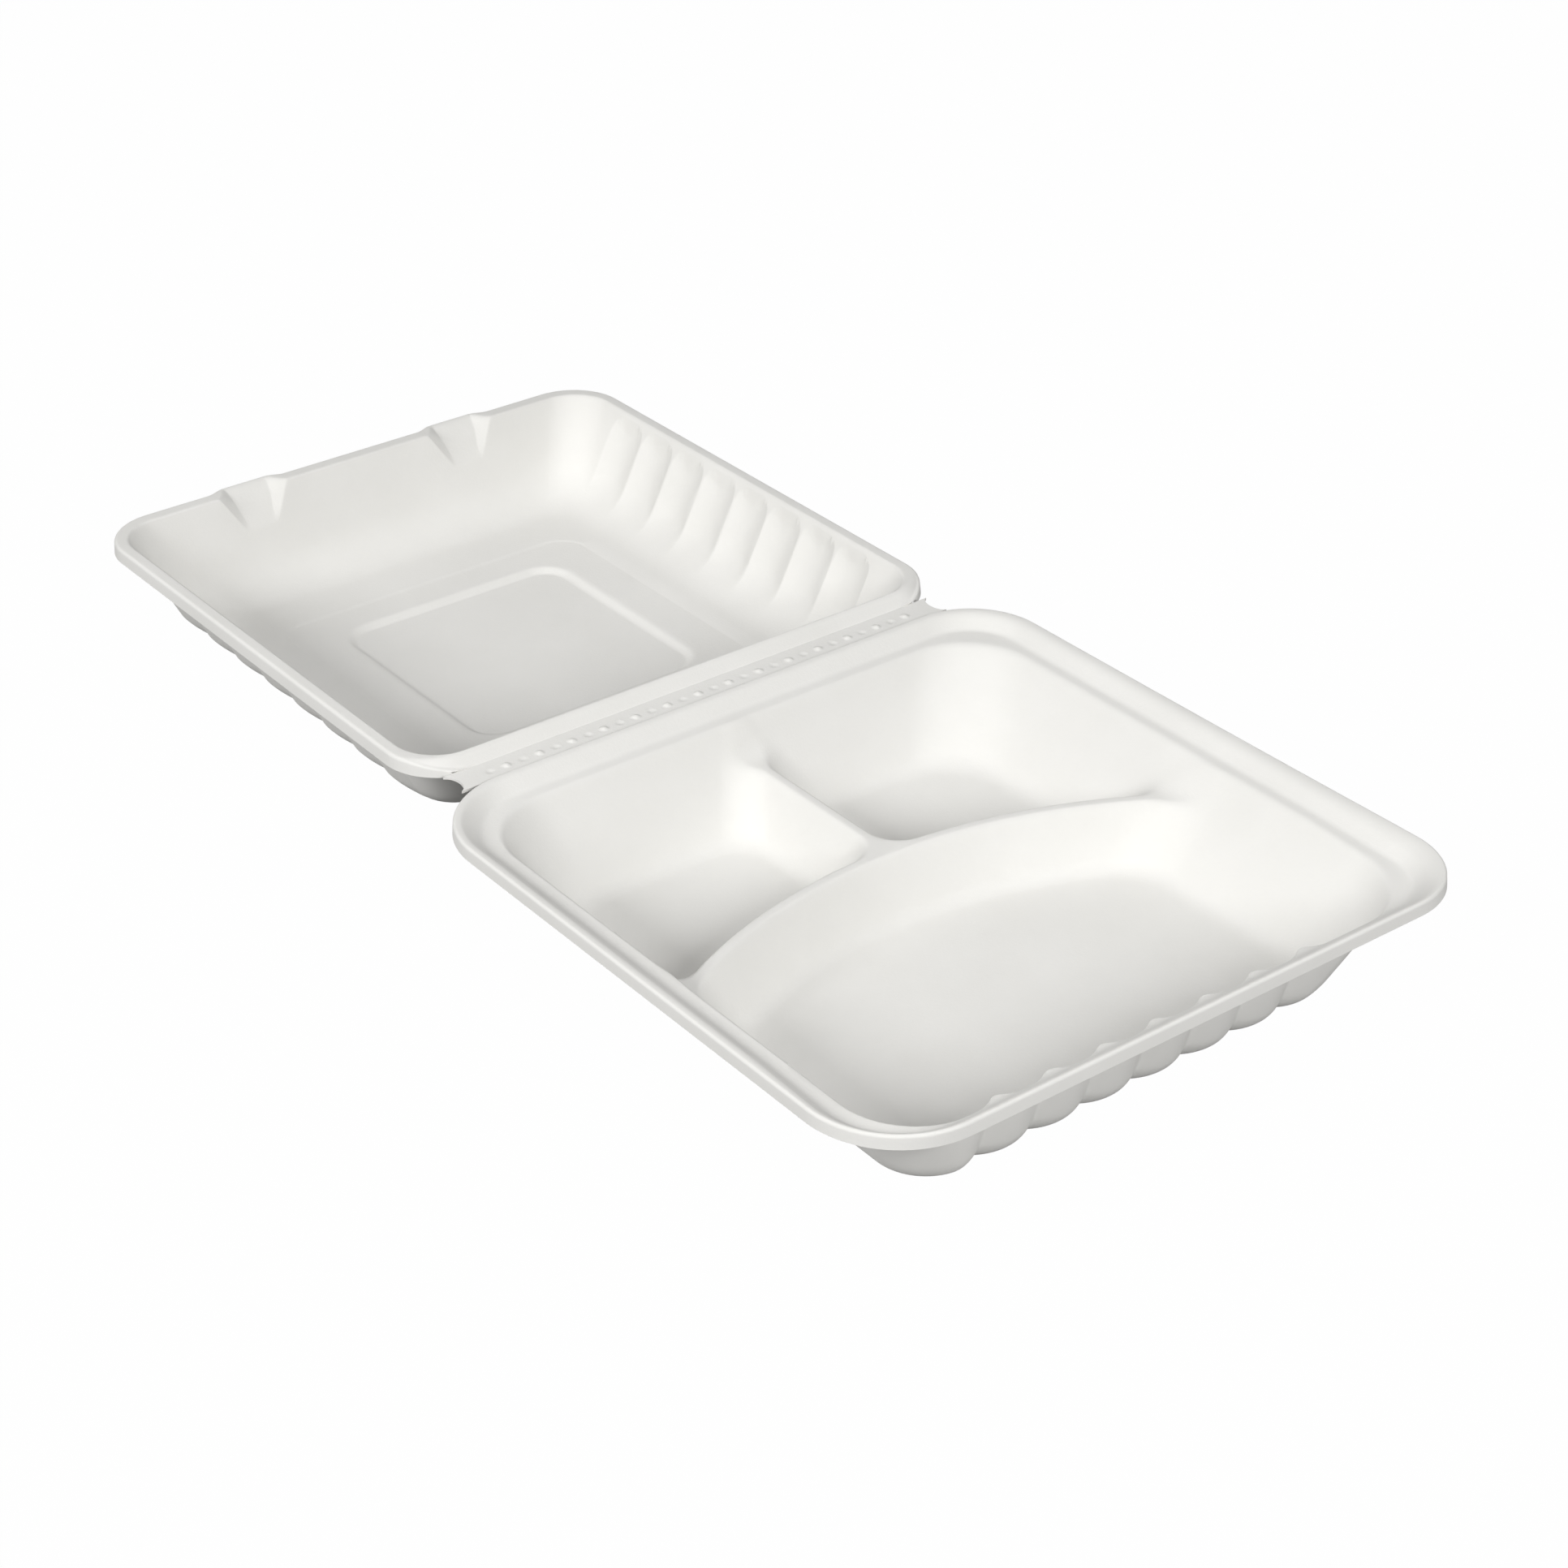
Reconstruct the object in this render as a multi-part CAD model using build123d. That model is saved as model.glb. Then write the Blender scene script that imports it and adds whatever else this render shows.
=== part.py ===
# Moulded fibre menu box with three compartments and a hinged lid, opened flat.
from build123d import *
import math
import os

os.makedirs("parts", exist_ok=True)

# Driving dimensions in millimetres. X runs along the fold, the base lies at minus Y,
# the lid at plus Y, and both rest on Z = 0.
wall = 1.0

# Base compartments
base_draft = 12.5
ledge_z = 30.5
open_x = 102.0
open_back = -13.5
open_front = -220.0
open_corner = 26.0
base_floor_radius = 14.0
valley_radius = 13.0
divider_z = 20.0
divider_half = 2.0
divider_flank = 20.0
divider_back = 5.0
divider_long = 97.0
arc_x = -7.0
arc_y = -270.0
arc_radius = 178.0

# Fluted walls
rib_depth = 3.0
flute_pitch = 19.56
base_rib_first = -65.1
rib_count = 7
flute_rise = 6.0
flute_sink = 9.0
corner_block = 80.0

# Base rim: ledge, slope, crest and skirt
foot_x = 107.2
foot_front = -220.2
foot_back = -8.5
foot_corner = 18.0
seat_out = 4.0
slope_out = 4.5
slope_rise = 3.6
rim_out = 8.0
crest_z = 34.5
crest_radius = 1.3
skirt_z = 30.2

# Lid
lid_open_x = 101.5
lid_open_near = 14.75
lid_open_far = 219.5
lid_corner = 16.0
lid_floor_x = 84.0
lid_floor_near = 31.0
lid_floor_far = 206.0
lid_floor_z = 3.2
lid_floor_radius = 18.0
lid_crest_z = 37.7
lid_rim_x = 106.3
lid_rim_near = 6.2
lid_rim_far = 225.2
lid_rim_corner = 20.8
lid_skirt_z = 32.9
lid_rib_first = 59.2
lid_flute_radius = 13.0
lid_flute_depth = 2.8
lid_flute_top = 30.0
lid_tip_high = 12.0
lid_tip_share = 0.4
frame_limits = (-63.5, 63.5, 52.0, 176.0)
frame_corner = 12.0
frame_z = 2.7
panel_limits = (-45.5, 45.5, 67.0, 161.0)
panel_corner = 11.0
panel_z = 1.0
step_rise = 3.0
step_angle = 30.0

# Pockets in the far wall of the lid
pocket_x = 44.5
pocket_half_wide = 14.0
pocket_half_flat = 8.5
pocket_low_wide = 6.5
pocket_low_flat = 5.0
pocket_out = 2.3
pocket_drop = 13.0
pocket_back = 4.0
pad_y = 226.8
pad_back = 222.0
pad_more = 0.8

# Fold strip
strip_left = -94.8
strip_right = 96.6
strip_z = 34.1
strip_back = -3.2
strip_far = 10.2
fold_y = 4.45
fold_gap = 0.3
axis_y = 3.0
axis_z = 34.6
nest_gap = 0.5
slot_low_z = 27.0
pip_count = 14
pip_pitch = 12.5
pip_first = -77.75
pip_y = 2.6
pip_radius = 1.5
pip_sides = 10
pip_height = 0.5
pip_draft = 45.0


# Rounded rectangle between x0, x1, y0 and y1 at height z
def rounded(limits, radius, z):
    x0, x1, y0, y1 = limits
    place = Pos((x0 + x1) / 2, (y0 + y1) / 2, z)
    return place * RectangleRounded(x1 - x0, y1 - y0, radius)


# The same limits moved outwards on all four sides
def grown(limits, size):
    x0, x1, y0, y1 = limits
    return (x0 - size, x1 + size, y0 - size, y1 + size)


# Block between limits and two heights
def block(limits, low, high):
    x0, x1, y0, y1 = limits
    place = Pos((x0 + x1) / 2, (y0 + y1) / 2, (low + high) / 2)
    return place * Box(x1 - x0, y1 - y0, high - low)


# Body drawn down from a sketch, narrowing by the draft angle
def sunk(sketch, depth, angle):
    return extrude(sketch, amount=depth, dir=(0, 0, -1), taper=angle)


# Body drawn up from a sketch, widening by the draft angle
def raised(sketch, height, angle=0.0):
    return extrude(sketch, amount=height, dir=(0, 0, 1), taper=-angle)


# Upright prism over a closed outline
def prism(points, low, high):
    return raised(Pos(0, 0, low) * make_face(Polyline(*points, close=True)), high - low)


# Edges of a body that lie level at height z
def flat_edges(body, z):
    found = []
    for edge in body.edges():
        box = edge.bounding_box()
        if abs(box.min.Z - z) < 0.05 and abs(box.max.Z - z) < 0.05:
            found.append(edge)
    return found


# Round column between two points on its axis
def column(start, end, radius):
    line = Vector(*end) - Vector(*start)
    return Plane(origin=start, z_dir=line) * extrude(Circle(radius), amount=line.length)


# Straight and arched ridges between the compartments
def dividers(grow):
    flank = math.radians(divider_flank)
    half = divider_half + grow * math.tan(flank) - grow / math.cos(flank)
    peak = divider_z - grow
    low = wall - grow - 1
    spread = half + (peak - low) * math.tan(flank)
    shape = [(-spread, low), (spread, low), (half, peak), (-half, peak)]
    section = Plane.XZ * make_face(Polyline(*shape, close=True))
    straight = Pos(0, divider_back, 0) * extrude(section, amount=divider_long)
    ring = [(arc_radius + x, z) for x, z in shape]
    section = Plane.XZ * make_face(Polyline(*ring, close=True))
    return straight + Pos(arc_x, arc_y, 0) * revolve(section, Axis.Z, 360)


# The three compartments as one filled body, grown by the wall
def base_pocket(grow):
    floor = wall - grow
    depth = ledge_z - floor
    lean = math.tan(math.radians(base_draft))
    side = grow * math.hypot(1, lean)
    corner = open_corner + side
    radius = base_floor_radius + grow
    limits = grown((-open_x, open_x, open_front + rib_depth, open_back), side)
    body = sunk(rounded(limits, corner, ledge_z), depth, base_draft) - dividers(grow)
    valleys = []
    for edge in body.edges():
        box = edge.bounding_box()
        if box.min.Z < floor + 0.1 and box.max.Z < divider_z + 1 and box.size.Z > divider_z / 2:
            valleys.append(edge)
    body = fillet(valleys, valley_radius + grow)
    body = fillet(flat_edges(body, floor), radius)

    # Flutes of the front wall between corners at the full depth
    full = grown((-open_x, open_x, open_front, open_back), side)
    outer = sunk(rounded(full, corner, ledge_z), depth, base_draft)
    outer = fillet(flat_edges(outer, floor), radius)
    centre = open_front + base_floor_radius * math.hypot(1, lean)
    first = base_rib_first - flute_pitch / 2
    last = first + rib_count * flute_pitch
    middle = open_front + corner_block / 2
    left = block((first - corner_block, first, open_front - corner_block, middle), -1, ledge_z + 1)
    right = block((last, last + corner_block, open_front - corner_block, middle), -1, ledge_z + 1)
    lobes = left + right
    for i in range(rib_count + 1):
        x = first + i * flute_pitch
        low = (x, centre + (ledge_z + flute_sink) * lean, -flute_sink)
        high = (x, centre - flute_rise * lean, ledge_z + flute_rise)
        lobes = lobes + column(low, high, radius)
    return body + (lobes & outer)


# Ledge plate, slope, crest and skirt around the compartments
def base_rim():
    foot = (-foot_x, foot_x, foot_front, foot_back)
    low = ledge_z - wall
    outline = rounded(grown(foot, rim_out), foot_corner + rim_out, low)
    rim = fillet(flat_edges(raised(outline, crest_z - low), crest_z), crest_radius)
    angle = math.degrees(math.atan2(slope_out, slope_rise))
    rim = rim - raised(rounded(foot, foot_corner, ledge_z), crest_z - ledge_z + 1, angle)

    # Hollow below the crest, on the outer side of the slope
    span = math.hypot(slope_out, slope_rise)
    inset = wall * slope_rise / span - (wall * slope_out / span - wall) * slope_out / slope_rise
    under = rounded(grown(foot, inset), foot_corner, low)
    top = crest_z - wall
    edge = rim_out - wall
    hollow = raised(rounded(grown(foot, edge), foot_corner + edge, low - 1), top - low + 1)
    rim = rim - (hollow - raised(under, top - low, angle))

    # The skirt ends above the ledge plate
    edge = rim_out + wall
    skirt = raised(rounded(grown(foot, edge), foot_corner + edge, low - 1), skirt_z - low + 1)
    seat = raised(rounded(grown(foot, seat_out), foot_corner + seat_out, low - 2), ledge_z - low + 2)
    return rim - (skirt - seat)


# Flat piece of the fold strip between two distances along Y
def strip_plate(y0, y1):
    return block((strip_left, strip_right, y0, y1), strip_z - wall, strip_z)


# Base with its rim, its half of the strip and the row of pips
def base_tray():
    body = base_pocket(wall) + base_rim()
    half = strip_back / 2
    body = body - block((strip_left, strip_right, half, -half), slot_low_z, strip_z - wall)
    body = body + strip_plate(strip_back, fold_y - fold_gap / 2)
    sketch = Pos(pip_first, pip_y, strip_z) * RegularPolygon(pip_radius, pip_sides)
    pip = sunk(sketch, pip_height / 2, 0) + raised(sketch, pip_height, -pip_draft)
    for i in range(pip_count):
        body = body + Pos(i * pip_pitch, 0, 0) * pip
    return body - base_pocket(0)


# Limits of the lid cavity at height z, grown by the wall
def lid_limits(z, grow, more=0.0):
    rise = lid_crest_z - lid_floor_z
    side = (lid_open_x - lid_floor_x) / rise
    near = (lid_floor_near - lid_open_near) / rise
    far = (lid_open_far - lid_floor_far) / rise
    up = z - lid_floor_z
    x = lid_floor_x + up * side + (grow + more) * math.hypot(1, side)
    y0 = lid_floor_near - up * near - grow * math.hypot(1, near)
    y1 = lid_floor_far + up * far + grow * math.hypot(1, far)
    return (-x, x, y0, y1)


# Plain hollow of the lid, with its side walls moved out by more
def lid_hollow(grow, more):
    floor = lid_floor_z - grow
    top = lid_crest_z + 0.5
    lower = rounded(lid_limits(floor, grow, more), lid_corner + grow, floor)
    upper = rounded(lid_limits(top, grow, more), lid_corner + grow, top)
    body = loft([lower, upper], ruled=True)
    return fillet(flat_edges(body, floor), lid_floor_radius + grow)


# Outward wedge pocket of the far wall, centred on X = 0
def wall_pocket(grow):
    size = grow * 1.1
    shapes = []
    for z, wide, flat, out in (
        (lid_crest_z - pocket_drop, pocket_low_wide, pocket_low_flat, 0.1),
        (lid_crest_z + 0.3, pocket_half_wide, pocket_half_flat, pocket_out),
    ):
        y = lid_limits(z, 0)[3]
        wide = wide + grow * 0.5
        flat = flat + grow * 0.3
        right = [(flat, y + size + out), (wide, y + size), (wide, y - pocket_back)]
        left = [(-x, y) for x, y in reversed(right)]
        shapes.append(Pos(0, 0, z) * make_face(Polyline(*left, *right, close=True)))
    return loft(shapes, ruled=True)


# The inside of the lid as one filled body, grown by the wall
def lid_pocket(grow):
    body = lid_hollow(grow, 0.0)

    # Flutes along both side walls
    lean = math.atan2(lid_open_x - lid_floor_x, lid_crest_z - lid_floor_z)
    inner = (lid_flute_radius - lid_flute_depth) / math.cos(lean)
    radius = lid_flute_radius + grow
    lobes = []
    for side in (-1, 1):
        for i in range(rib_count + 1):
            y = lid_rib_first + (i - 0.5) * flute_pitch
            low = (side * (lid_limits(-flute_sink, 0)[1] - inner), y, -flute_sink)
            high = (side * (lid_limits(lid_flute_top, 0)[1] - inner), y, lid_flute_top)
            line = Vector(*high) - Vector(*low)
            tip = Cone(radius, radius * lid_tip_share, lid_tip_high)
            tip = Plane(origin=high, z_dir=line) * Pos(0, 0, lid_tip_high / 2) * tip
            lobes.append(column(low, high, radius) + tip)
    outer = lid_hollow(grow, lid_flute_depth)
    for lobe in lobes:
        body = body + (lobe & outer)

    # Frame step and centre panel pressed into the floor
    frame = rounded(grown(frame_limits, grow), frame_corner + grow, frame_z - grow)
    panel = rounded(grown(panel_limits, grow), panel_corner + grow, panel_z - grow)
    body = body + raised(frame, step_rise, step_angle) + raised(panel, step_rise, step_angle)
    for side in (-1, 1):
        body = body + Pos(side * pocket_x, 0, 0) * wall_pocket(grow)
    return body


# Outside of the lid rim, cut on the fold side to nest in the base
def lid_block(inset, top):
    limits = (-lid_rim_x, lid_rim_x, lid_rim_near, lid_rim_far)
    low = lid_skirt_z - inset
    body = raised(rounded(grown(limits, -inset), lid_rim_corner - inset, low), top - low)
    side = nest_gap + inset * math.hypot(slope_out, slope_rise) / slope_rise
    near = 2 * axis_y - foot_back
    high = 2 * axis_z - ledge_z
    edges = (-foot_x + side, foot_x - side, near + side, 2 * lid_rim_far)
    angle = math.degrees(math.atan2(slope_out, slope_rise))
    body = body & sunk(rounded(edges, foot_corner - side, high), high - low + 1, -angle)
    for end in (-1, 1):
        wide = pocket_half_wide + pad_more - inset
        flat = pocket_half_flat + pad_more - inset * 0.5
        right = [(flat, pad_y - inset), (wide, lid_rim_far - 0.6 - inset), (wide, pad_back)]
        left = [(-x, y) for x, y in reversed(right)]
        body = body + Pos(end * pocket_x, 0, 0) * prism(left + right, low, top)
    return body


# Lid with its rim and its half of the strip
def lid_tray():
    outside = lid_block(0, lid_crest_z)
    rim = outside - lid_block(wall, lid_crest_z - wall)
    above = (-2 * lid_rim_x, 2 * lid_rim_x, -lid_rim_far, 2 * lid_rim_far)
    shell = lid_pocket(wall) - block(above, lid_crest_z - 0.5, 2 * lid_crest_z)
    half = strip_far - lid_rim_near
    slot = (strip_left, strip_right, lid_rim_near - half, strip_far - 0.2)
    rim = rim - block(slot, slot_low_z, strip_z - wall)
    return rim + shell + strip_plate(fold_y + fold_gap / 2, strip_far) - lid_pocket(0)


base = base_tray()
lid = lid_tray()
for name, body in (("base_tray", base), ("lid", lid)):
    solids = body.solids()
    print(name, len(solids), body.is_valid, round(body.volume), body.bounding_box())
    export_step(solids[0] if len(solids) == 1 else body, "parts/" + name + ".step")
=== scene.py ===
# Moulded fibre menu box, opened flat. The box's lengths are in millimetres until a mesh
# is made, and the studio's are in metres.
import math
import bpy
import numpy as np
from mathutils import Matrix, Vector
from mathutils.geometry import delaunay_2d_cdt


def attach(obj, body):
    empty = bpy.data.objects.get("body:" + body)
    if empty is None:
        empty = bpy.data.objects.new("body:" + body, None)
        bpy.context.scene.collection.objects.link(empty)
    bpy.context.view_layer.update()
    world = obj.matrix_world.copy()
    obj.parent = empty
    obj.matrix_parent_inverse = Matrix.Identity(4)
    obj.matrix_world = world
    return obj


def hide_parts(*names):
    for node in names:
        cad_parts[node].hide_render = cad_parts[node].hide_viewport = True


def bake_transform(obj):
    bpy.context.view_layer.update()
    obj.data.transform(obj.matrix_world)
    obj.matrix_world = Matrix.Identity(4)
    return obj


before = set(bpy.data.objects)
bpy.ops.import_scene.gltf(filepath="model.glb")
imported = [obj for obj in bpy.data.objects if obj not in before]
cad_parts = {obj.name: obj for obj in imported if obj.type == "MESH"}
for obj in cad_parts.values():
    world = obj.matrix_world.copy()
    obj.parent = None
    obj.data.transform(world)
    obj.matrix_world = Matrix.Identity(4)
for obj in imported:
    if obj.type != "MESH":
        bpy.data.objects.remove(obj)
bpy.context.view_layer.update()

millimetre = 0.001

# The shell is one sheet of pressed fibre. Its upper face is worked out as a height over
# the table, so that walls, floors and ridges run into each other as on a felted mould.
sheet = {
    "thickness": 0.95,
    "cell": 6.0, "levels": 4, "quickLevels": 3,
    "ringSpacing": 1.7, "cornerSteps": 8,
    "halvings": 22, "normalStep": 0.01, "smoothAngle": 55,
    "gridPerMillimetre": 1000, "mergePerMillimetre": 500, "nearest": 1e-5, "sliver": 1e-4,
}


# Lower of two heights, run together over the reach
def smoothMin(a, b, reach):
    share = np.clip(0.5 + 0.5 * (b - a) / reach, 0, 1)
    return b + (a - b) * share - reach * share * (1 - share)


# Drop with a soft start and end, for a part from 0 to 1
def softStep(drop, part):
    part = np.clip(part, 0, 1)
    return drop * part ** 2 * (3 - 2 * part)


# Distance outside a rounded rectangle, negative inside. The corner radius is one number,
# or one for the left and one for the right.
def outsideRound(x, y, limits, corner):
    x0, x1, y0, y1 = limits
    if isinstance(corner, tuple):
        corner = np.where(x < (x0 + x1) / 2, corner[0], corner[1])
    pastX = np.abs(x - (x0 + x1) / 2) - ((x1 - x0) / 2 - corner)
    pastY = np.abs(y - (y0 + y1) / 2) - ((y1 - y0) / 2 - corner)
    out = np.hypot(np.maximum(pastX, 0), np.maximum(pastY, 0))
    return out + np.minimum(np.maximum(pastX, pastY), 0) - corner


# The same distance, with the direction that leads outwards
def outwards(x, y, limits, corner):
    step = sheet["normalStep"]
    out = outsideRound(x, y, limits, corner)
    nx = (outsideRound(x + step, y, limits, corner) - out) / step
    ny = (outsideRound(x, y + step, limits, corner) - out) / step
    return out, nx, ny


# How far a drafted wall with a rounded foot has come in at height z
def wallInset(z, top, floor, draft, radius):
    lean = np.radians(draft)
    turn = floor + radius * (1 - np.sin(lean))
    straight = (top - np.maximum(z, turn)) * np.tan(lean)
    drop = np.clip(floor + radius - z, 0, radius)
    curve = radius * np.cos(lean) - np.sqrt(radius ** 2 - drop ** 2)
    return straight + np.where(z < turn, curve, 0)


# Inside distance to several walls at once, with rounded corners between them
def roundedAll(gaps, radius):
    total = 0
    for gap in gaps:
        total = total + np.maximum(radius - gap, 0) ** 2
    return radius - np.sqrt(total)


# Height at which each point meets the wall of a hollow, found by halving. It is high
# where the point never does.
def lowestInside(inside, low, high, shape):
    bottom = np.full(shape, low)
    top = np.full(shape, high)
    for step in range(sheet["halvings"]):
        middle = (bottom + top) / 2
        within = inside(middle) >= 0
        top = np.where(within, middle, top)
        bottom = np.where(within, bottom, middle)
    return top


# Rolls the sheet's edge over the rim: how far out and how far down it has gone
def rollOver(out, start, radius, skirtLength, flare):
    angle = np.clip((out - start) / radius, 0, math.pi / 2)
    down = np.maximum(out - (start + radius * math.pi / 2), 0)
    reach = start + radius * np.sin(angle) + flare * down / skirtLength
    return reach, radius * (1 - np.cos(angle)) + down


# Grid points over the limits, closer together where the height curves. A cell is split
# while the height inside it leaves the mean of its corners by more than the tolerance.
def fineGrid(height, limits, tolerance):
    x0, x1, y0, y1 = limits
    cols = max(1, round((x1 - x0) / sheet["cell"]))
    rows = max(1, round((y1 - y0) / sheet["cell"]))
    size = np.array([(x1 - x0) / cols, (y1 - y0) / rows])
    cells = np.stack(np.meshgrid(np.arange(cols), np.arange(rows)), -1).reshape(-1, 2)
    cells = np.column_stack([x0 + cells[:, 0] * size[0], y0 + cells[:, 1] * size[1]])
    corners = [(0, 0), (1, 0), (0, 1), (1, 1)]
    middles = [(0.5, 0), (0, 0.5), (0.5, 1), (1, 0.5), (0.5, 0.5)]
    spots = np.array(corners + middles)
    edges = {4: (0, 1), 6: (2, 3), 5: (0, 2), 7: (1, 3)}
    quarters = [0, 4, 5, 8]
    levels = sheet["levels"]
    points = []
    for level in range(levels + 1):
        places = cells[:, None, :] + spots[None, :, :] * size
        z = height(places[..., 0], places[..., 1])
        points.append(places[:, :4].reshape(-1, 2))
        steep = 1 + (np.ptp(z, axis=1) / size.max()) ** 2
        bend = np.abs(z[:, 8] - z[:, :4].mean(1))
        for middle, (one, other) in edges.items():
            bend = np.maximum(bend, np.abs(z[:, middle] - (z[:, one] + z[:, other]) / 2))
        split = cells[bend / np.sqrt(steep) > tolerance]
        if level == levels or not len(split):
            break
        size = size / 2
        cells = (split[:, None, :] + spots[None, quarters, :] * size * 2).reshape(-1, 2)
    fine = sheet["gridPerMillimetre"]
    keys = np.unique(np.round(np.concatenate(points) * fine).astype(np.int64), axis=0)
    return keys / fine


# Points along a rounded rectangle moved outwards by the given distance
def ringPoints(limits, corner, out):
    x0, x1, y0, y1 = limits
    spacing = sheet["ringSpacing"]
    left, right = corner if isinstance(corner, tuple) else (corner, corner)
    corners = []
    turns = (((x1 - right, y0 + right), right, -90), ((x1 - right, y1 - right), right, 0),
             ((x0 + left, y1 - left), left, 90), ((x0 + left, y0 + left), left, 180))
    for centre, turn, first in turns:
        steps = max(sheet["cornerSteps"], round(math.pi / 2 * turn / spacing))
        for step in range(steps + 1):
            angle = math.radians(first + 90 * step / steps)
            radius = turn + out
            corners.append((centre[0] + radius * math.cos(angle),
                            centre[1] + radius * math.sin(angle)))
    points = list(corners)
    for (ax, ay), (bx, by) in zip(corners, corners[1:] + corners[:1]):
        parts = max(1, round(math.hypot(bx - ax, by - ay) / spacing))
        for step in range(1, parts):
            part = step / parts
            points.append((ax + (bx - ax) * part, ay + (by - ay) * part))
    return np.array(points)


# Even steps between each pair of values, ends included
def evenSteps(values, steps):
    result = [values[0]]
    for low, high, count in zip(values, values[1:], steps):
        result += [low + (high - low) * (i + 1) / count for i in range(count)]
    return result


# Mesh over flat points, each carried to its place in space by lift. Triangles whose
# middle isn't kept are left out, and so are slivers.
def sheetMesh(name, flat, lift, keep):
    keys = np.round(flat * sheet["mergePerMillimetre"]).astype(np.int64)
    flat = flat[np.unique(keys, axis=0, return_index=True)[1]]
    found = delaunay_2d_cdt([Vector(point) for point in flat], [], [], 0, sheet["nearest"])
    flat = np.array([tuple(point) for point in found[0]])
    faces = np.array([face for face in found[2] if len(face) == 3])
    corner = flat[faces]
    turn = np.cross(corner[:, 1] - corner[:, 0], corner[:, 2] - corner[:, 0])
    faces = np.where((turn < 0)[:, None], faces[:, ::-1], faces)[np.abs(turn) > sheet["sliver"]]
    middle = flat[faces].mean(1)
    faces = faces[keep(middle[:, 0], middle[:, 1])]
    space = lift(flat[:, 0], flat[:, 1]) * millimetre
    used, faces = np.unique(faces, return_inverse=True)
    mesh = bpy.data.meshes.new(name)
    mesh.from_pydata(space[used].tolist(), [], faces.reshape(-1, 3).tolist())
    mesh.validate()
    piece = bpy.data.objects.new(name, mesh)
    bpy.context.collection.objects.link(piece)
    return piece


# Gives the sheet its wall below the upper face, with the outside's material on the
# lower face and the cut edge, and smooths its shading
def addThickness(piece):
    bpy.ops.object.select_all(action="DESELECT")
    bpy.context.view_layer.objects.active = piece
    piece.select_set(True)
    wall = piece.modifiers.new("wall", "SOLIDIFY")
    wall.thickness = sheet["thickness"] * millimetre
    wall.offset = -1
    wall.use_even_offset = True
    wall.thickness_clamp = 0
    wall.material_offset = 1
    wall.material_offset_rim = 1
    bpy.ops.object.modifier_apply(modifier=wall.name)
    bpy.ops.object.shade_smooth_by_angle(angle=math.radians(sheet["smoothAngle"]))
    piece.select_set(False)


# Fold strip between the halves, with a row of pips and a dent between each two
strip = {
    "left": -94.8, "right": 96.6, "top": 34.1, "start": -1.2, "end": 9.6, "endCurve": 3.2,
    "pips": 14, "pipPitch": 12.5, "pipFirst": -77.75, "pipY": 3.5, "pipRadius": 1.7,
    "pipHeight": 0.7, "dentDepth": 0.3, "domePower": 1.5,
    "bendStart": 1.2, "bendEnd": 5.2,
    "rows": 25, "columns": 384, "quickRows": 13, "quickColumns": 192, "edgeRoom": 0.05,
}


# Upper face of the fold strip
def stripHeight(x, y):
    along = (x - strip["pipFirst"]) / strip["pipPitch"]

    def dome(place, height):
        off = np.hypot((along - place) * strip["pipPitch"], y - strip["pipY"]) / strip["pipRadius"]
        return np.clip(1 - off ** 2, 0, 1) ** strip["domePower"] * height

    last = strip["pips"] - 1
    pip = dome(np.clip(np.round(along), 0, last), strip["pipHeight"])
    dent = dome(np.clip(np.round(along + 0.5), 0, last) - 0.5, strip["dentDepth"])
    return strip["top"] + pip - dent


def makeStrip():
    middle = (strip["start"] + strip["end"]) / 2
    half = (strip["end"] - strip["start"]) / 2
    rowCount = strip["rows"]
    columnCount = strip["columns"]
    columns = np.linspace(0, 1, columnCount)

    # The ends flare out to the rims on both sides
    def flare(row):
        return strip["endCurve"] * (1 - np.sqrt(np.maximum(0, 1 - row * row)))

    flat = []
    for row in np.linspace(-1, 1, rowCount):
        curve = flare(row)
        x = strip["left"] - curve + (strip["right"] - strip["left"] + 2 * curve) * columns
        flat.append(np.column_stack([x, np.full_like(x, middle + row * half)]))

    def keep(x, y):
        curve = flare((y - middle) / half)
        room = strip["edgeRoom"]
        return (x > strip["left"] - curve - room) & (x < strip["right"] + curve + room)

    def lift(x, y):
        return np.column_stack([x, y, stripHeight(x, y)])

    piece = sheetMesh("fold_strip", np.concatenate(flat), lift, keep)
    addThickness(piece)
    return piece


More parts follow.
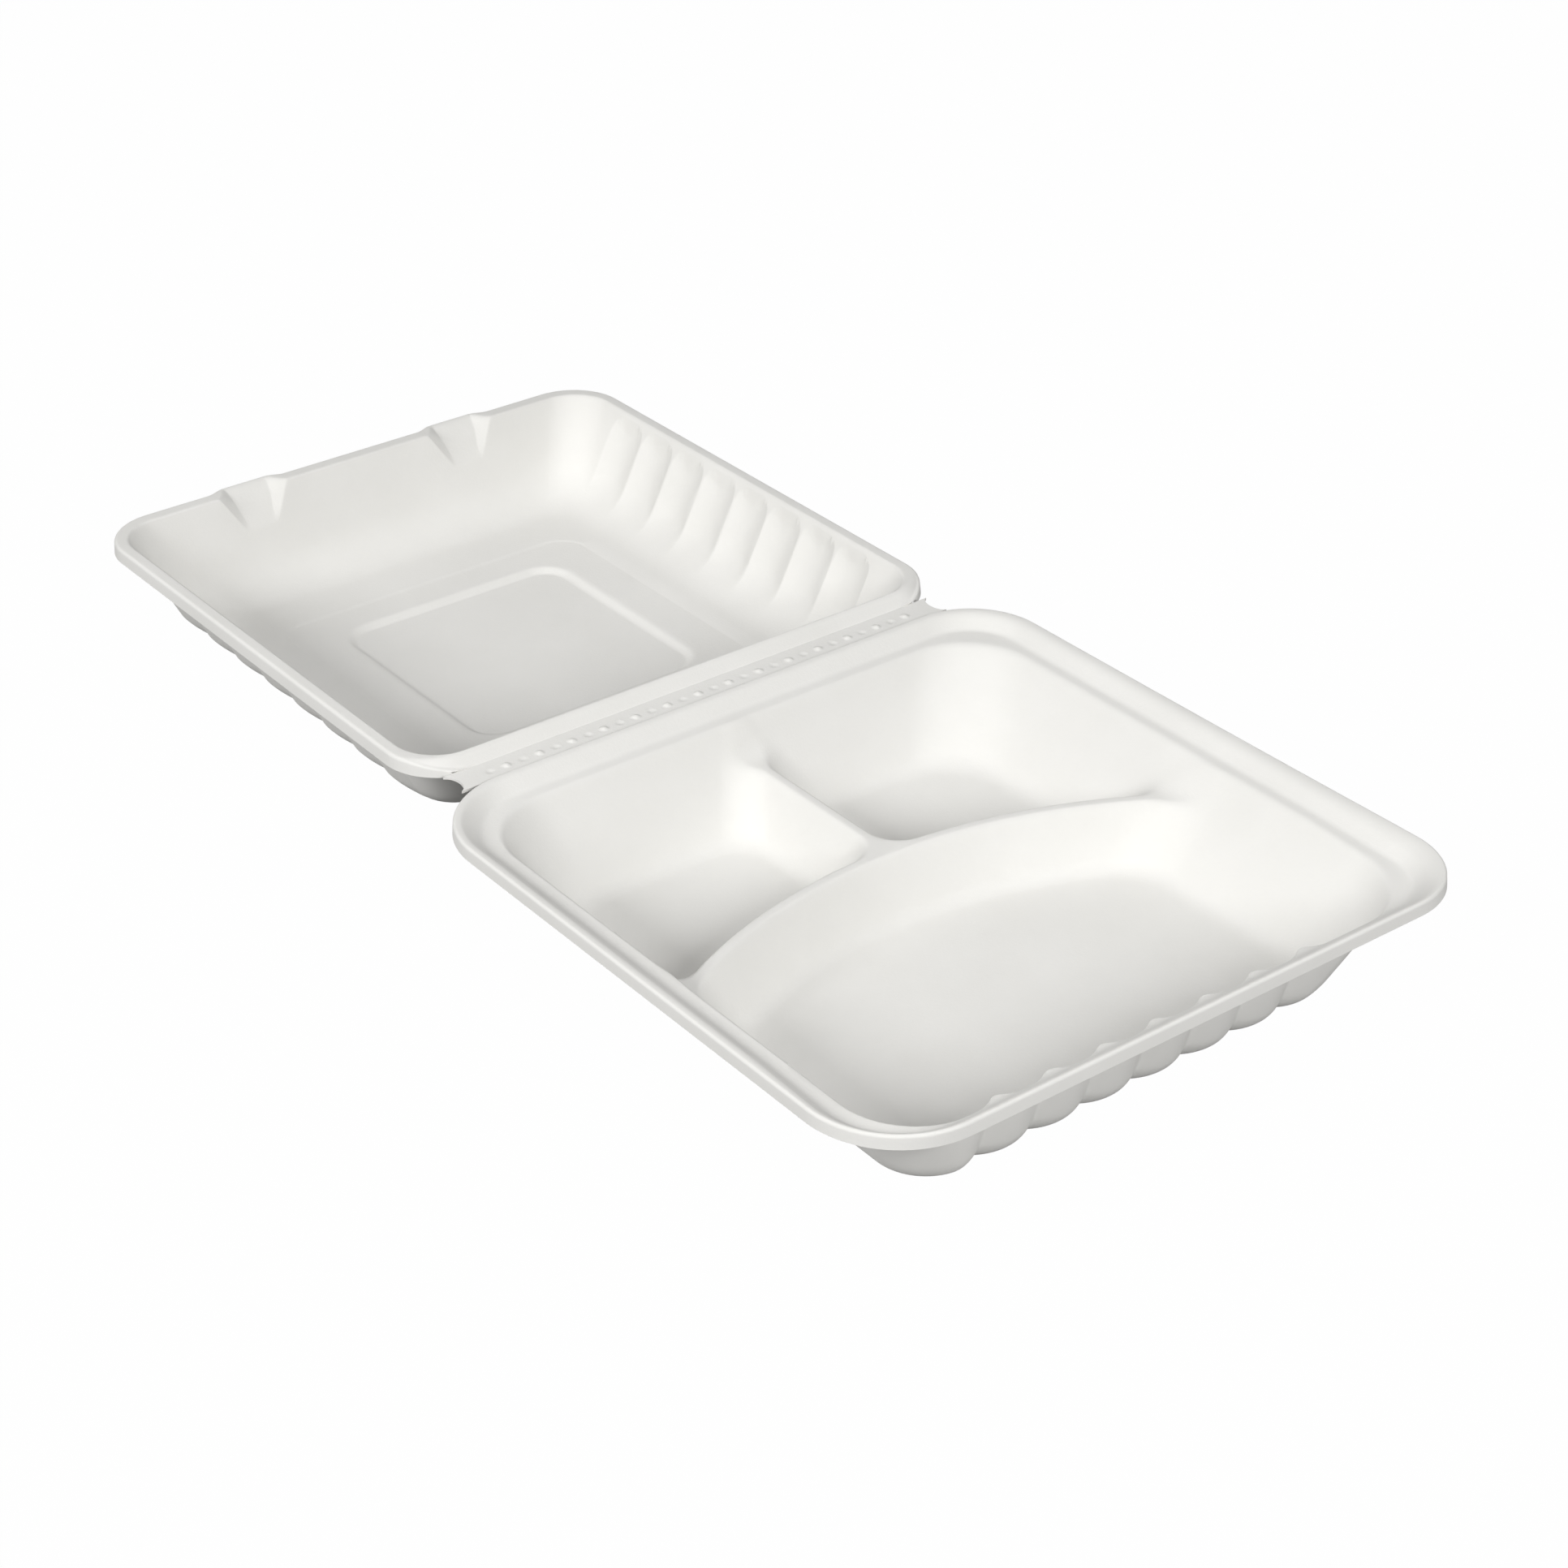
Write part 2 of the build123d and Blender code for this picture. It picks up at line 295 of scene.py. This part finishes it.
# Base: three compartments, a T divider with an arched cross wall, seven round flutes in
# the front wall, then a ledge, a slope up to the crest and a rim that rolls down
base = {
    "floor": 1.0, "ledge": 30.5, "crest": 34.9, "searchTop": 40.0,
    "openX": 102.0, "openFront": -220.6, "openBack": -13.5,
    "openCorner": 26.0, "floorCornerLeft": 15.0, "floorCornerRight": 24.0,
    "leftDraft": 28.0, "rightDraft": 40.0, "backDraft": 36.0, "floorRound": 9.0,
    "frontDraft": 15.5, "frontRound": 12.0,
    "dividerTop": 20.0, "dividerHalf": 2.0, "dividerFlank": 27.0, "dividerFoot": 7.5,
    "valleyRound": 11.0, "saddleRound": 9.5, "topRound": 2.2,
    "arcCentre": (-7.0, -270.0), "arcRadius": 178.0,
    "fluteFirst": -65.9, "flutePitch": 19.56, "flutes": 7,
    "fluteRound": 14.0, "fluteDepth": 3.0, "ridgeRound": 0.9,
    "ledgeDip": 1.2, "dipStart": -170.0, "dipLength": 45.0, "edgeRound": 1.6,
    "foot": (-107.2, 107.2, -220.6, -8.5), "footCorner": (24.0, 19.0),
    "slope": 0.85, "slopeStart": -1.5, "slopeRound": 0.9, "crestRound": 1.2,
    "lipStart": 6.85, "lipRound": 1.0, "skirtFlare": 0.25, "skirtEnd": 30.5,
    "trimShift": 1.0, "trimFront": 1.8, "trimStart": 4.0, "trimRamp": 2.5,
    "trimLeft": -60.0, "trimLength": 170.0, "trimReach": 228.0,
    "stripCut": 1.1, "tolerance": 0.036, "gridEdge": -0.6, "firstRing": -0.3,
    "rings": [0, 0.8, 3.2, 4.5, 5.4], "ringSteps": [2, 2, 2, 3, 1, 6, 3],
}


# Inward reach of the ridges between the front's round flutes, 0 in the middle of a flute
def frontRidges(x):
    pitch = base["flutePitch"]
    radius = base["fluteRound"]
    along = (x - (base["fluteFirst"] - pitch / 2)) / pitch
    ridge = np.clip(np.round(along), 0, base["flutes"])
    off = np.clip(np.abs(along - ridge) * pitch, 0, pitch / 2)
    beside = (along < 0) | (along > base["flutes"])
    reach = np.where(beside, 0, radius - np.sqrt(radius ** 2 - off ** 2))
    return smoothMin(reach, base["fluteDepth"], base["ridgeRound"])


# Upper face of the base
def baseHeight(x, y):
    arc = np.hypot(x - base["arcCentre"][0], y - base["arcCentre"][1]) - base["arcRadius"]
    sides = base["openX"] - np.abs(x)
    sideDraft = np.where(x < 0, base["leftDraft"], base["rightDraft"])
    back = base["openBack"] - y
    front = y - base["openFront"] - frontRidges(x)

    # Inside the four outer walls. The corners get tighter towards the floor.
    def wall(z):
        top, floor = base["ledge"], base["floor"]
        gaps = [sides - wallInset(z, top, floor, sideDraft, base["floorRound"]),
                back - wallInset(z, top, floor, base["backDraft"], base["floorRound"]),
                front - wallInset(z, top, floor, base["frontDraft"], base["frontRound"])]
        part = np.clip((z - floor) / (top - floor), 0, 1)
        floorCorner = np.where(x < 0, base["floorCornerLeft"], base["floorCornerRight"])
        return roundedAll(gaps, floorCorner + (base["openCorner"] - floorCorner) * part)

    # The space over the dividers, whose tops rise softly into the outer walls
    def trough(z):
        drafts = (sideDraft, base["backDraft"], base["frontDraft"])
        gaps = [gap - wallInset(z, base["ledge"], base["dividerTop"], draft, base["saddleRound"])
                for gap, draft in zip((sides, back, front), drafts)]
        return roundedAll(gaps, base["openCorner"])

    def divider(z):
        return base["dividerHalf"] + wallInset(z, base["dividerTop"], base["floor"],
                                               base["dividerFlank"], base["dividerFoot"])

    def frontHollow(z):
        return roundedAll([wall(z), -arc - divider(z)], base["valleyRound"])

    def rearLeft(z):
        return roundedAll([wall(z), arc - divider(z), -x - divider(z)], base["valleyRound"])

    def rearRight(z):
        return roundedAll([wall(z), arc - divider(z), x - divider(z)], base["valleyRound"])

    height = lowestInside(trough, base["dividerTop"], base["searchTop"], x.shape)
    for hollow in (frontHollow, rearLeft, rearRight):
        low = lowestInside(hollow, base["floor"], base["searchTop"], x.shape)
        height = smoothMin(height, low, base["topRound"])
    ledge = base["ledge"] - base["ledgeDip"] * np.clip((base["dipStart"] - y) / base["dipLength"], 0, 1)
    height = smoothMin(height, ledge, base["edgeRound"])
    out = outsideRound(x, y, base["foot"], base["footCorner"])
    slope = np.where(out > base["slopeStart"], ledge + out * base["slope"], 0.0)
    height = -smoothMin(-height, -slope, base["slopeRound"])
    return smoothMin(height, base["crest"], base["crestRound"])


def makeBase():
    lipEnd = base["lipStart"] + base["lipRound"] * math.pi / 2
    skirtLength = base["crest"] - base["lipRound"] - base["skirtEnd"]

    # The rim of the real box is trimmed a little to the right of its mould, most at the front
    def trim(x, y, out):
        shift = np.clip((out - base["trimStart"]) / base["trimRamp"], 0, 1)
        shift = shift * np.clip((x - base["trimLeft"]) / base["trimLength"], 0, 1)
        forward = np.clip(-y / base["trimReach"], 0, 1) ** 3
        return shift * (base["trimShift"] + base["trimFront"] * forward)

    def lift(x, y):
        out, nx, ny = outwards(x, y, base["foot"], base["footCorner"])
        past = out - base["lipStart"]
        rim = past > 0
        reach, drop = rollOver(out, base["lipStart"], base["lipRound"], skirtLength, base["skirtFlare"])
        z = baseHeight(np.where(rim, x - nx * past, x), np.where(rim, y - ny * past, y))
        z = z - np.where(rim, drop, 0)
        back = np.where(rim, reach - out, 0)
        return np.column_stack([x + nx * back + trim(x, y, out), y + ny * back, z])

    # The skirt is left out where the strip joins the rim
    def keep(x, y):
        out = outsideRound(x, y, base["foot"], base["footCorner"])
        onStrip = (x > strip["left"]) & (x < strip["right"]) & (y > base["foot"][3])
        return ~(onStrip & (out > base["lipStart"] + base["lipRound"] * base["stripCut"]))

    inner = fineGrid(baseHeight, base["foot"], base["tolerance"])
    out = outsideRound(inner[:, 0], inner[:, 1], base["foot"], base["footCorner"])
    inner = inner[out < base["gridEdge"]]
    ends = base["rings"] + [base["lipStart"], lipEnd, lipEnd + skirtLength]
    rings = [base["firstRing"]] + evenSteps(ends, base["ringSteps"])
    flat = [inner] + [ringPoints(base["foot"], base["footCorner"], out) for out in rings]
    piece = sheetMesh("base_shell", np.concatenate(flat), lift, keep)
    addThickness(piece)
    return piece


# Lid: fluted side walls, a stepped centre panel, two finger pads in the far wall and a
# flange that nests in the base's rim when the lid is closed
lid = {
    "floor": 3.2, "crest": 37.7, "searchTop": 46.0,
    "openX": 101.5, "openNear": 14.75, "openFar": 219.5,
    "draftX": 26.9, "draftNear": 25.2, "draftFar": 21.4, "floorRound": 20.0,
    "cornerTop": 16.0, "cornerFloor": 11.0, "edgeRound": 1.3,
    "fluteFirst": 59.2, "flutePitch": 19.56, "flutes": 7, "fluteDepth": 2.4, "fluteHalf": 9.4,
    "fluteTaper": 11.0, "fluteFade": 26.5, "fadeStretch": 1.05,
    "frame": (-63.5, 63.5, 52.0, 176.0), "frameDrop": 0.25, "frameCorner": 12.0, "frameRamp": 1.2,
    "panel": (-45.5, 45.5, 67.0, 161.0), "panelDrop": 1.7, "panelCorner": 11.0, "panelRamp": 4.0,
    "padX": 44.5, "padDepth": 4.0, "padLow": 24.7, "padPastCrest": 1.1,
    "padFoot": 6.5, "padSpread": 7.5, "padFlat": 5.0, "padFlatSpread": 3.5,
    "rimPad": 2.3, "rimPadHalf": 14.8, "rimPadRamp": 5.5, "rimPadStart": -4.5, "rimPadRise": 3.0,
    "rimPadFrom": 150.0,
    "outline": (-106.3, 106.3, 8.0, 225.2), "outlineCorner": 20.8,
    "nest": (-106.7, 106.7, 15.0, 400.0), "nestCorner": 17.5, "nestTop": 38.7,
    "nestSlope": 0.8, "nestRound": 0.8,
    "lipRound": 1.2, "skirtEnd": 32.9, "skirtFlare": 0.3, "leastSkirt": 0.05,
    "tolerance": 0.035, "gridEdge": -2.2, "firstRing": -0.5, "ringSteps": [1, 6, 3],
    "seam": 9.2, "seamSpacing": 1.5,
}


# Upper face of the opened lid
def lidHeight(x, y):
    start = lid["fluteFirst"] - lid["flutePitch"] / 2
    nearest = np.clip(np.round((y - start) / lid["flutePitch"]), 0, lid["flutes"])
    off = np.abs(y - start - nearest * lid["flutePitch"])
    radius = (lid["fluteHalf"] ** 2 + lid["fluteDepth"] ** 2) / (2 * lid["fluteDepth"])
    side = np.abs(np.abs(x) - lid["padX"])

    # Outward reach of the flutes, which end in round heads below the rim
    def flute(z):
        above = np.maximum(z - lid["fluteFade"], 0)
        reach = np.minimum(np.sqrt(off ** 4 + (above * lid["fadeStretch"]) ** 4), radius ** 2)
        deep = np.maximum(np.sqrt(radius ** 2 - reach) - (radius - lid["fluteDepth"]), 0)
        return deep * np.clip((z - lid["floor"]) / lid["fluteTaper"], 0, 1)

    # Outward reach of the finger pads, which grow wider and deeper towards the rim
    def pad(z):
        part = np.clip((z - lid["padLow"]) / (lid["crest"] - lid["padLow"]), 0, lid["padPastCrest"])
        wide = lid["padFoot"] + lid["padSpread"] * part
        flat = lid["padFlat"] + lid["padFlatSpread"] * part
        return lid["padDepth"] * part * np.clip((wide - side) / (wide - flat), 0, 1)

    def inset(z, draft):
        return wallInset(z, lid["crest"], lid["floor"], draft, lid["floorRound"])

    def inside(z):
        gaps = [lid["openX"] - np.abs(x) + flute(z) - inset(z, lid["draftX"]),
                y - lid["openNear"] - inset(z, lid["draftNear"]),
                lid["openFar"] - y + pad(z) - inset(z, lid["draftFar"])]
        part = np.clip(z / lid["crest"], 0, 1)
        return roundedAll(gaps, lid["cornerFloor"] + (lid["cornerTop"] - lid["cornerFloor"]) * part)

    height = lowestInside(inside, lid["floor"], lid["searchTop"], x.shape)
    framed = 0.5 - outsideRound(x, y, lid["frame"], lid["frameCorner"]) / lid["frameRamp"]
    height = height - softStep(lid["frameDrop"], framed)
    panelled = 0.5 - outsideRound(x, y, lid["panel"], lid["panelCorner"]) / lid["panelRamp"]
    height = height - softStep(lid["panelDrop"], panelled)
    height = smoothMin(height, lid["crest"], lid["edgeRound"])
    flange = lid["nestTop"] - lid["nestSlope"] * outsideRound(x, y, lid["nest"], lid["nestCorner"])
    return smoothMin(height, flange, lid["nestRound"])


def makeLid():
    lipStart = -lid["lipRound"]
    lipEnd = lipStart + lid["lipRound"] * math.pi / 2
    skirtLength = lid["crest"] - lid["lipRound"] - lid["skirtEnd"]

    # The rim stands out beside the finger pads
    def rimPad(x, y, out):
        side = np.abs(np.abs(x) - lid["padX"])
        across = np.clip((lid["rimPadHalf"] - side) / lid["rimPadRamp"], 0, 1)
        outer = np.clip((out - lid["rimPadStart"]) / lid["rimPadRise"], 0, 1)
        return lid["rimPad"] * across * outer * (y > lid["rimPadFrom"])

    def lift(x, y):
        out, nx, ny = outwards(x, y, lid["outline"], lid["outlineCorner"])
        past = out - lipStart
        rim = past > 0
        top = lidHeight(np.where(rim, x - nx * past, x), np.where(rim, y - ny * past, y))
        reach, drop = rollOver(out, lipStart, lid["lipRound"], skirtLength, lid["skirtFlare"])
        room = np.clip((top - lid["skirtEnd"]) / (lid["lipRound"] + skirtLength), lid["leastSkirt"], 1)
        z = top - np.where(rim, drop * room, 0)
        back = np.where(rim, reach - out, 0)
        return np.column_stack([x + nx * back, y + ny * back + rimPad(x, y, out), z])

    # The near edge is cut along a seam where the strip begins
    def keep(x, y):
        onStrip = (x > strip["left"]) & (x < strip["right"])
        return ~(onStrip & (y < lid["seam"]))

    inner = fineGrid(lidHeight, lid["outline"], lid["tolerance"])
    out = outsideRound(inner[:, 0], inner[:, 1], lid["outline"], lid["outlineCorner"])
    inner = inner[out < lid["gridEdge"]]
    ends = [lipStart + lid["firstRing"], lipStart, lipEnd, lipEnd + skirtLength]
    rings = evenSteps(ends, lid["ringSteps"])
    seam = np.column_stack([np.arange(strip["left"], strip["right"], lid["seamSpacing"])] * 2)
    seam[:, 1] = lid["seam"]
    flat = [inner] + [ringPoints(lid["outline"], lid["outlineCorner"], out) for out in rings] + [seam]
    piece = sheetMesh("lid_shell", np.concatenate(flat), lift, keep)
    addThickness(piece)
    return piece


# Linear colour from an sRGB hex value
def srgb(text):
    parts = [int(text[i:i + 2], 16) / 255 for i in (0, 2, 4)]
    linear = [part / 12.92 if part <= 0.04045 else ((part + 0.055) / 1.055) ** 2.4 for part in parts]
    return linear + [1.0]


# Adds a node, sets its values and links its inputs
def addNode(tree, kind, settings=None, links=None):
    node = tree.nodes.new(kind)
    for key, value in (settings or {}).items():
        if isinstance(key, int) or key in node.inputs:
            node.inputs[key].default_value = value
        else:
            setattr(node, key, value)
    for key, source in (links or {}).items():
        tree.links.new(source, node.inputs[key])
    return node


# Pressed sugarcane fibre. It is matt and warm white, with faint clouds where the pulp
# settled and a felt too fine to see as more than softness. The inside is hot-pressed
# smooth, and the outside keeps the marks of the former's wire mesh.
fibre = {
    "pale": "E8E7E4", "dark": "DFDEDA", "roughness": 0.86, "IOR": 1.45,
    "cloudScale": 26.0, "cloudDetail": 4.0, "cloudRoughness": 0.55,
    "feltScale": 900.0, "feltDetail": 3.0, "feltRoughness": 0.6,
    "bumpDistance": 0.6, "insideBump": 0.10, "outsideBump": 0.22,
    "meshPitch": 0.95, "meshShare": 0.22,
}


# Height of the wire marks: sine waves at the mesh's pitch along the three axes, over the felt
def wireMarks(tree, place, felt):
    wave = 2 * math.pi / (fibre["meshPitch"] * millimetre)
    split = addNode(tree, "ShaderNodeSeparateXYZ", None, {"Vector": place})
    total = None
    for axis in ("X", "Y", "Z"):
        scaled = addNode(tree, "ShaderNodeMath", {"operation": "MULTIPLY", 1: wave},
                         {0: split.outputs[axis]})
        sine = addNode(tree, "ShaderNodeMath", {"operation": "SINE"}, {0: scaled.outputs[0]})
        if total:
            sine = addNode(tree, "ShaderNodeMath", {"operation": "ADD"},
                           {0: total, 1: sine.outputs[0]})
        total = sine.outputs[0]
    return addNode(tree, "ShaderNodeMath", {"operation": "MULTIPLY_ADD", 1: fibre["meshShare"]},
                   {0: total, 2: felt}).outputs[0]


def fibreMaterial(name, meshMarks):
    material = bpy.data.materials.new(name)
    material.use_nodes = True
    tree = material.node_tree
    tree.nodes.clear()
    place = addNode(tree, "ShaderNodeTexCoord").outputs["Object"]
    cloud = addNode(tree, "ShaderNodeTexNoise",
                    {"Scale": fibre["cloudScale"], "Detail": fibre["cloudDetail"],
                     "Roughness": fibre["cloudRoughness"]}, {"Vector": place})
    felt = addNode(tree, "ShaderNodeTexNoise",
                   {"Scale": fibre["feltScale"], "Detail": fibre["feltDetail"],
                    "Roughness": fibre["feltRoughness"]}, {"Vector": place})
    tone = addNode(tree, "ShaderNodeMix", {"data_type": "RGBA"}, {"Factor": cloud.outputs["Fac"]})
    colours = [socket for socket in tone.inputs if socket.type == "RGBA"]
    colours[0].default_value = srgb(fibre["dark"])
    colours[1].default_value = srgb(fibre["pale"])
    shader = addNode(tree, "ShaderNodeBsdfPrincipled",
                     {"Roughness": fibre["roughness"], "IOR": fibre["IOR"]})
    mixed = [socket for socket in tone.outputs if socket.type == "RGBA"][0]
    tree.links.new(mixed, shader.inputs["Base Color"])
    height = felt.outputs["Fac"]
    strength = fibre["insideBump"]
    if meshMarks:
        height = wireMarks(tree, place, height)
        strength = fibre["outsideBump"]
    bump = addNode(tree, "ShaderNodeBump",
                   {"Strength": strength, "Distance": fibre["bumpDistance"] * millimetre},
                   {"Height": height})
    tree.links.new(bump.outputs["Normal"], shader.inputs["Normal"])
    addNode(tree, "ShaderNodeOutputMaterial", None, {"Surface": shader.outputs[0]})
    return material


print("materials")
inside = fibreMaterial("pressed_fibre_inside", False)
outside = fibreMaterial("pressed_fibre_outside", True)

print("base")
baseShell = makeBase()
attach(baseShell, "base")
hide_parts("base_tray")

print("lid")
lidShell = makeLid()
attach(lidShell, "cover")
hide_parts("lid")

print("fold strip")
foldStrip = makeStrip()
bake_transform(foldStrip)

for piece in (baseShell, lidShell, foldStrip):
    piece.data.materials.clear()
    piece.data.materials.append(inside)
    piece.data.materials.append(outside)
    print(piece.name, sum(len(face.vertices) - 2 for face in piece.data.polygons), "triangles")

# White studio paper. The camera sees it as white but for a trace of the object's shadow,
# while it lights the box from below as a grey, so that the walls under the rim stay dark.
stage = {"size": 6.0, "white": "FFFFFF", "grey": "9C9C9C", "glow": 1.0, "showThrough": 0.99}

print("floor")
bpy.ops.object.select_all(action="DESELECT")
bpy.ops.mesh.primitive_plane_add(size=stage["size"])
floor = bpy.context.active_object
floor.name = "studio_floor"
paper = bpy.data.materials.new("studio_paper")
paper.use_nodes = True
tree = paper.node_tree
tree.nodes.clear()
grey = addNode(tree, "ShaderNodeBsdfDiffuse", {"Color": srgb(stage["grey"])})
glow = addNode(tree, "ShaderNodeEmission", {"Color": srgb(stage["white"]), "Strength": stage["glow"]})
path = addNode(tree, "ShaderNodeLightPath")
part = addNode(tree, "ShaderNodeMath", {"operation": "MULTIPLY", 1: stage["showThrough"]},
               {0: path.outputs["Is Camera Ray"]})
mix = addNode(tree, "ShaderNodeMixShader", None,
              {0: part.outputs[0], 1: grey.outputs[0], 2: glow.outputs[0]})
addNode(tree, "ShaderNodeOutputMaterial", None, {"Surface": mix.outputs[0]})
floor.data.materials.append(paper)

# Weak light from all round, and white where the camera sees past the floor
room = {"colour": "FFFFFF", "light": 0.24, "shown": 1.0}

print("world")
world = bpy.data.worlds.new("studio")
bpy.context.scene.world = world
world.use_nodes = True
tree = world.node_tree
tree.nodes.clear()
white = srgb(room["colour"])
sky = addNode(tree, "ShaderNodeBackground", {"Color": white, "Strength": room["light"]})
shown = addNode(tree, "ShaderNodeBackground", {"Color": white, "Strength": room["shown"]})
path = addNode(tree, "ShaderNodeLightPath")
mix = addNode(tree, "ShaderNodeMixShader", None,
              {0: path.outputs["Is Camera Ray"], 1: sky.outputs[0], 2: shown.outputs[0]})
addNode(tree, "ShaderNodeOutputWorld", None, {"Surface": mix.outputs[0]})

# Square lamps aimed at the origin: places and sizes in metres, power in watts
lamps = {
    "left": {"from": (-1.37, 0.14, 0.80), "size": 0.5, "power": 13.5},
    "front": {"from": (-0.20, -1.36, 0.80), "size": 0.5, "power": 12.5},
    "top": {"from": (0.0, 0.0, 1.6), "size": 0.8, "power": 4.5},
}

print("lamps")
for name, lamp in lamps.items():
    data = bpy.data.lights.new(name, "AREA")
    data.shape = "SQUARE"
    data.size = lamp["size"]
    data.energy = lamp["power"]
    light = bpy.data.objects.new(name, data)
    light.location = lamp["from"]
    light.rotation_euler = (-Vector(lamp["from"])).to_track_quat("-Z", "Y").to_euler()
    bpy.context.collection.objects.link(light)

# Camera fitted to the photo's two square rims: place in millimetres, farthest in metres
camera = {
    "place": (-553.2, -754.0, 561.8), "aim": (0.5245, 0.6781, -0.5149),
    "lens": 75.45, "sensor": 36.0, "farthest": 20,
}

print("camera")
data = bpy.data.cameras.new("camera")
data.lens = camera["lens"]
data.sensor_width = camera["sensor"]
data.clip_end = camera["farthest"]
eye = bpy.data.objects.new("camera", data)
eye.location = Vector(camera["place"]) * millimetre
eye.rotation_euler = Vector(camera["aim"]).to_track_quat("-Z", "Y").to_euler()
bpy.context.collection.objects.link(eye)
bpy.context.scene.camera = eye
bpy.context.scene.view_settings.view_transform = "Standard"
